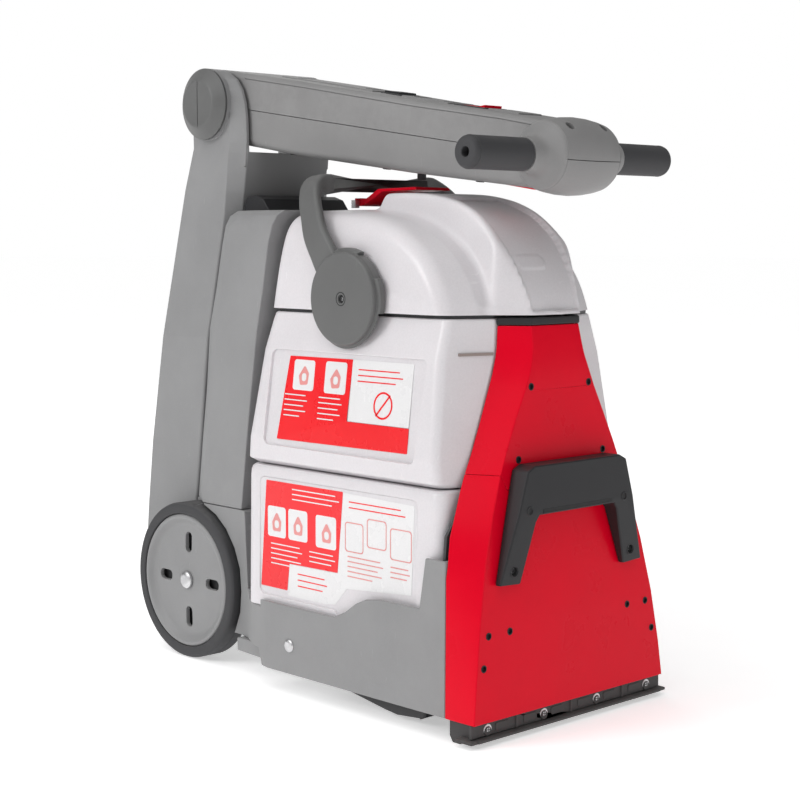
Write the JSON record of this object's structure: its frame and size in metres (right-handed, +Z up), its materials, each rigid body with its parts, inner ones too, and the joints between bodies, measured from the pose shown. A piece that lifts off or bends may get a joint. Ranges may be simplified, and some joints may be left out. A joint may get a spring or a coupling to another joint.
{
  "type": "upright two-tank carpet extractor",
  "caption": "Upright carpet cleaning extractor with stacked clean and recovery tanks, floating brush, suction nozzle, rear wheels and a handle folded forward over the tanks.",
  "frame": {"origin": "centre of the machine's plan box, at floor level", "axes": "+X across the machine, -Y the nozzle end, +Y the wheel end, +Z up"},
  "size_m": [0.28, 0.594, 0.635],
  "materials": {
    "arm_pin_left": "plain zinc-plated steel",
    "arm_pin_right": "plain zinc-plated steel",
    "bail_hub_left": "moulded dark grey plastic",
    "bail_hub_right": "moulded dark grey plastic",
    "base_housing": "fine-grained moulded grey plastic",
    "bottom_pan": "fine-grained moulded grey plastic",
    "brush_arm": "moulded dark grey plastic",
    "brush_motor": "cast motor housing",
    "brush_pulley": "moulded dark grey plastic",
    "brush_roll": "nylon bristle",
    "brush_shaft": "plain zinc-plated steel",
    "carry_handle": "moulded black plastic",
    "clean_tank": "milky translucent blow-moulded plastic",
    "clean_tank_cap": "moulded black plastic",
    "clean_tank_valve": "moulded dark grey plastic",
    "column_housing": "fine-grained moulded grey plastic",
    "cord_gland": "moulded black plastic",
    "dirty_tank": "milky translucent blow-moulded plastic",
    "drive_belt": "soft matte rubber",
    "float_ball": "glossy red plastic",
    "float_cage": "moulded dark grey plastic",
    "fold_bumper": "soft matte rubber",
    "fold_lock_button": "moulded black plastic",
    "front_frame": "moulded dark grey plastic",
    "grip_collar_left": "fine-grained moulded grey plastic",
    "grip_collar_right": "fine-grained moulded grey plastic",
    "grip_left": "soft matte rubber",
    "grip_right": "soft matte rubber",
    "grip_tube": "plain zinc-plated steel",
    "handle_bottom_shell": "fine-grained moulded grey plastic",
    "handle_top_shell": "fine-grained moulded grey plastic",
    "latch_pin": "plain zinc-plated steel",
    "lid_gasket": "moulded black plastic",
    "lid_latch": "glossy red plastic",
    "lower_handle": "fine-grained moulded grey plastic",
    "lower_handle_cover": "fine-grained moulded grey plastic",
    "motor_pulley": "plain zinc-plated steel",
    "nozzle_plate": "moulded black plastic",
    "pivot_cap_left": "moulded dark grey plastic",
    "pivot_cap_right": "moulded dark grey plastic",
    "pivot_pin": "plain zinc-plated steel",
    "power_switch": "glossy red plastic",
    "red_lower_cover": "glossy red plastic",
    "red_upper_cover": "glossy red plastic",
    "rim_band": "moulded black plastic",
    "spray_bar": "moulded dark grey plastic",
    "spray_trigger": "glossy red plastic",
    "suction_duct": "moulded dark grey plastic",
    "suction_nozzle": "moulded black plastic",
    "tank_bail": "fine-grained moulded grey plastic",
    "tank_inlet": "milky translucent blow-moulded plastic",
    "tank_lid": "milky translucent blow-moulded plastic",
    "tyre_left": "soft matte rubber",
    "tyre_right": "soft matte rubber",
    "vacuum_motor": "cast motor housing",
    "water_pump": "moulded dark grey plastic",
    "wheel_axle": "plain zinc-plated steel",
    "wheel_left": "fine-grained moulded grey plastic",
    "wheel_right": "fine-grained moulded grey plastic"
  },
  "bodies": {
    "chassis": {"base_housing": "base_housing", "bottom_pan": "bottom_pan", "arm_pin_left": "arm_pin_left", "arm_pin_right": "arm_pin_right", "water_pump": "water_pump", "spray_bar": "spray_bar", "red_upper_cover": "red_upper_cover", "red_lower_cover": "red_lower_cover", "carry_handle": "carry_handle", "nozzle_plate": "nozzle_plate", "suction_nozzle": "suction_nozzle", "suction_duct": "suction_duct", "front_frame": "front_frame", "rim_band": "rim_band", "column_housing": "column_housing", "vacuum_motor": "vacuum_motor", "clean_tank": "clean_tank", "clean_tank_valve": "clean_tank_valve", "wheel_axle": "wheel_axle", "lower_handle": "lower_handle", "lower_handle_cover": "lower_handle_cover", "pivot_pin": "pivot_pin", "pivot_cap_left": "pivot_cap_left", "pivot_cap_right": "pivot_cap_right", "cord_gland": "cord_gland"},
    "upper_handle": {"handle_top_shell": "handle_top_shell", "handle_bottom_shell": "handle_bottom_shell", "grip_collar_left": "grip_collar_left", "grip_collar_right": "grip_collar_right", "grip_left": "grip_left", "grip_right": "grip_right", "grip_tube": "grip_tube", "fold_bumper": "fold_bumper"},
    "wheel_left": {"wheel_left": "wheel_left", "tyre_left": "tyre_left"},
    "wheel_right": {"wheel_right": "wheel_right", "tyre_right": "tyre_right"},
    "brush_carrier": {"brush_arm": "brush_arm", "brush_motor": "brush_motor", "drive_belt": "drive_belt"},
    "brush": {"brush_roll": "brush_roll", "brush_shaft": "brush_shaft", "brush_pulley": "brush_pulley"},
    "motor_pulley": {"motor_pulley": "motor_pulley"},
    "upper_tank": {"dirty_tank": "dirty_tank", "tank_lid": "tank_lid", "lid_gasket": "lid_gasket", "float_cage": "float_cage", "tank_inlet": "tank_inlet", "latch_pin": "latch_pin"},
    "float_ball": {"float_ball": "float_ball"},
    "tank_bail": {"tank_bail": "tank_bail", "bail_hub_left": "bail_hub_left", "bail_hub_right": "bail_hub_right"},
    "lid_latch": {"lid_latch": "lid_latch"},
    "clean_tank_cap": {"clean_tank_cap": "clean_tank_cap"},
    "spray_trigger": {"spray_trigger": "spray_trigger"},
    "power_switch": {"power_switch": "power_switch"},
    "fold_lock_button": {"fold_lock_button": "fold_lock_button"}
  },
  "joints": [
    {"name": "handle_fold", "type": "hinge", "parent": "chassis", "child": "upper_handle", "pos_m": [0, 0.191, 0.597], "axis": [-1, 0, 0], "range_deg": [0, 115]},
    {"name": "wheel_left_spin", "type": "hinge", "parent": "chassis", "child": "wheel_left", "pos_m": [0, 0.179, 0.0845], "axis": [1, 0, 0], "continuous": true},
    {"name": "wheel_right_spin", "type": "hinge", "parent": "chassis", "child": "wheel_right", "pos_m": [0, 0.179, 0.0845], "axis": [1, 0, 0], "continuous": true},
    {"name": "brush_float", "type": "hinge", "parent": "chassis", "child": "brush_carrier", "pos_m": [0, -0.019, 0.05], "axis": [-1, 0, 0], "range_deg": [0, 4]},
    {"name": "brush_spin", "type": "hinge", "parent": "brush_carrier", "child": "brush", "pos_m": [0, -0.169, 0.0285], "axis": [1, 0, 0], "continuous": true},
    {"name": "motor_spin", "type": "hinge", "parent": "brush_carrier", "child": "motor_pulley", "pos_m": [0, -0.087, 0.052], "axis": [1, 0, 0], "continuous": true},
    {"name": "tank_lift", "type": "slide", "parent": "chassis", "child": "upper_tank", "axis": [0, 0, 1], "range_m": [0, 0.005]},
    {"name": "float_rise", "type": "slide", "parent": "upper_tank", "child": "float_ball", "axis": [0, 0, 1], "range_m": [0, 0.012]},
    {"name": "bail_swing", "type": "hinge", "parent": "upper_tank", "child": "tank_bail", "pos_m": [0, -0.081, 0.396], "axis": [1, 0, 0], "range_deg": [0, 4]},
    {"name": "latch_lift", "type": "hinge", "parent": "upper_tank", "child": "lid_latch", "pos_m": [0, 0.001, 0.4905], "axis": [-1, 0, 0], "range_deg": [0, 5]},
    {"name": "cap_turn", "type": "hinge", "parent": "chassis", "child": "clean_tank_cap", "pos_m": [0.07, -0.179, 0.2254], "axis": [0, 0, 1], "range_deg": [0, 90]},
    {"name": "trigger_squeeze", "type": "hinge", "parent": "upper_handle", "child": "spray_trigger", "pos_m": [0, -0.18817, 0.51265], "axis": [-1, 0, 0], "range_deg": [0, 8], "stiffness_Nm_per_rad": 0.3, "springref_deg": -5.73},
    {"name": "power_rocker", "type": "hinge", "parent": "upper_handle", "child": "power_switch", "pos_m": [0, -0.1474, 0.5744], "axis": [1, 0, 0], "range_deg": [0, 8]},
    {"name": "lock_press", "type": "slide", "parent": "upper_handle", "child": "fold_lock_button", "axis": [0, 0.1488, -0.9889], "range_m": [0, 0.004], "stiffness_N_per_m": 300, "springref_m": -0.001}
  ],
  "couplings": [
    {"joint": "motor_spin", "follows": "brush_spin", "ratio": 1.5556}
  ]
}
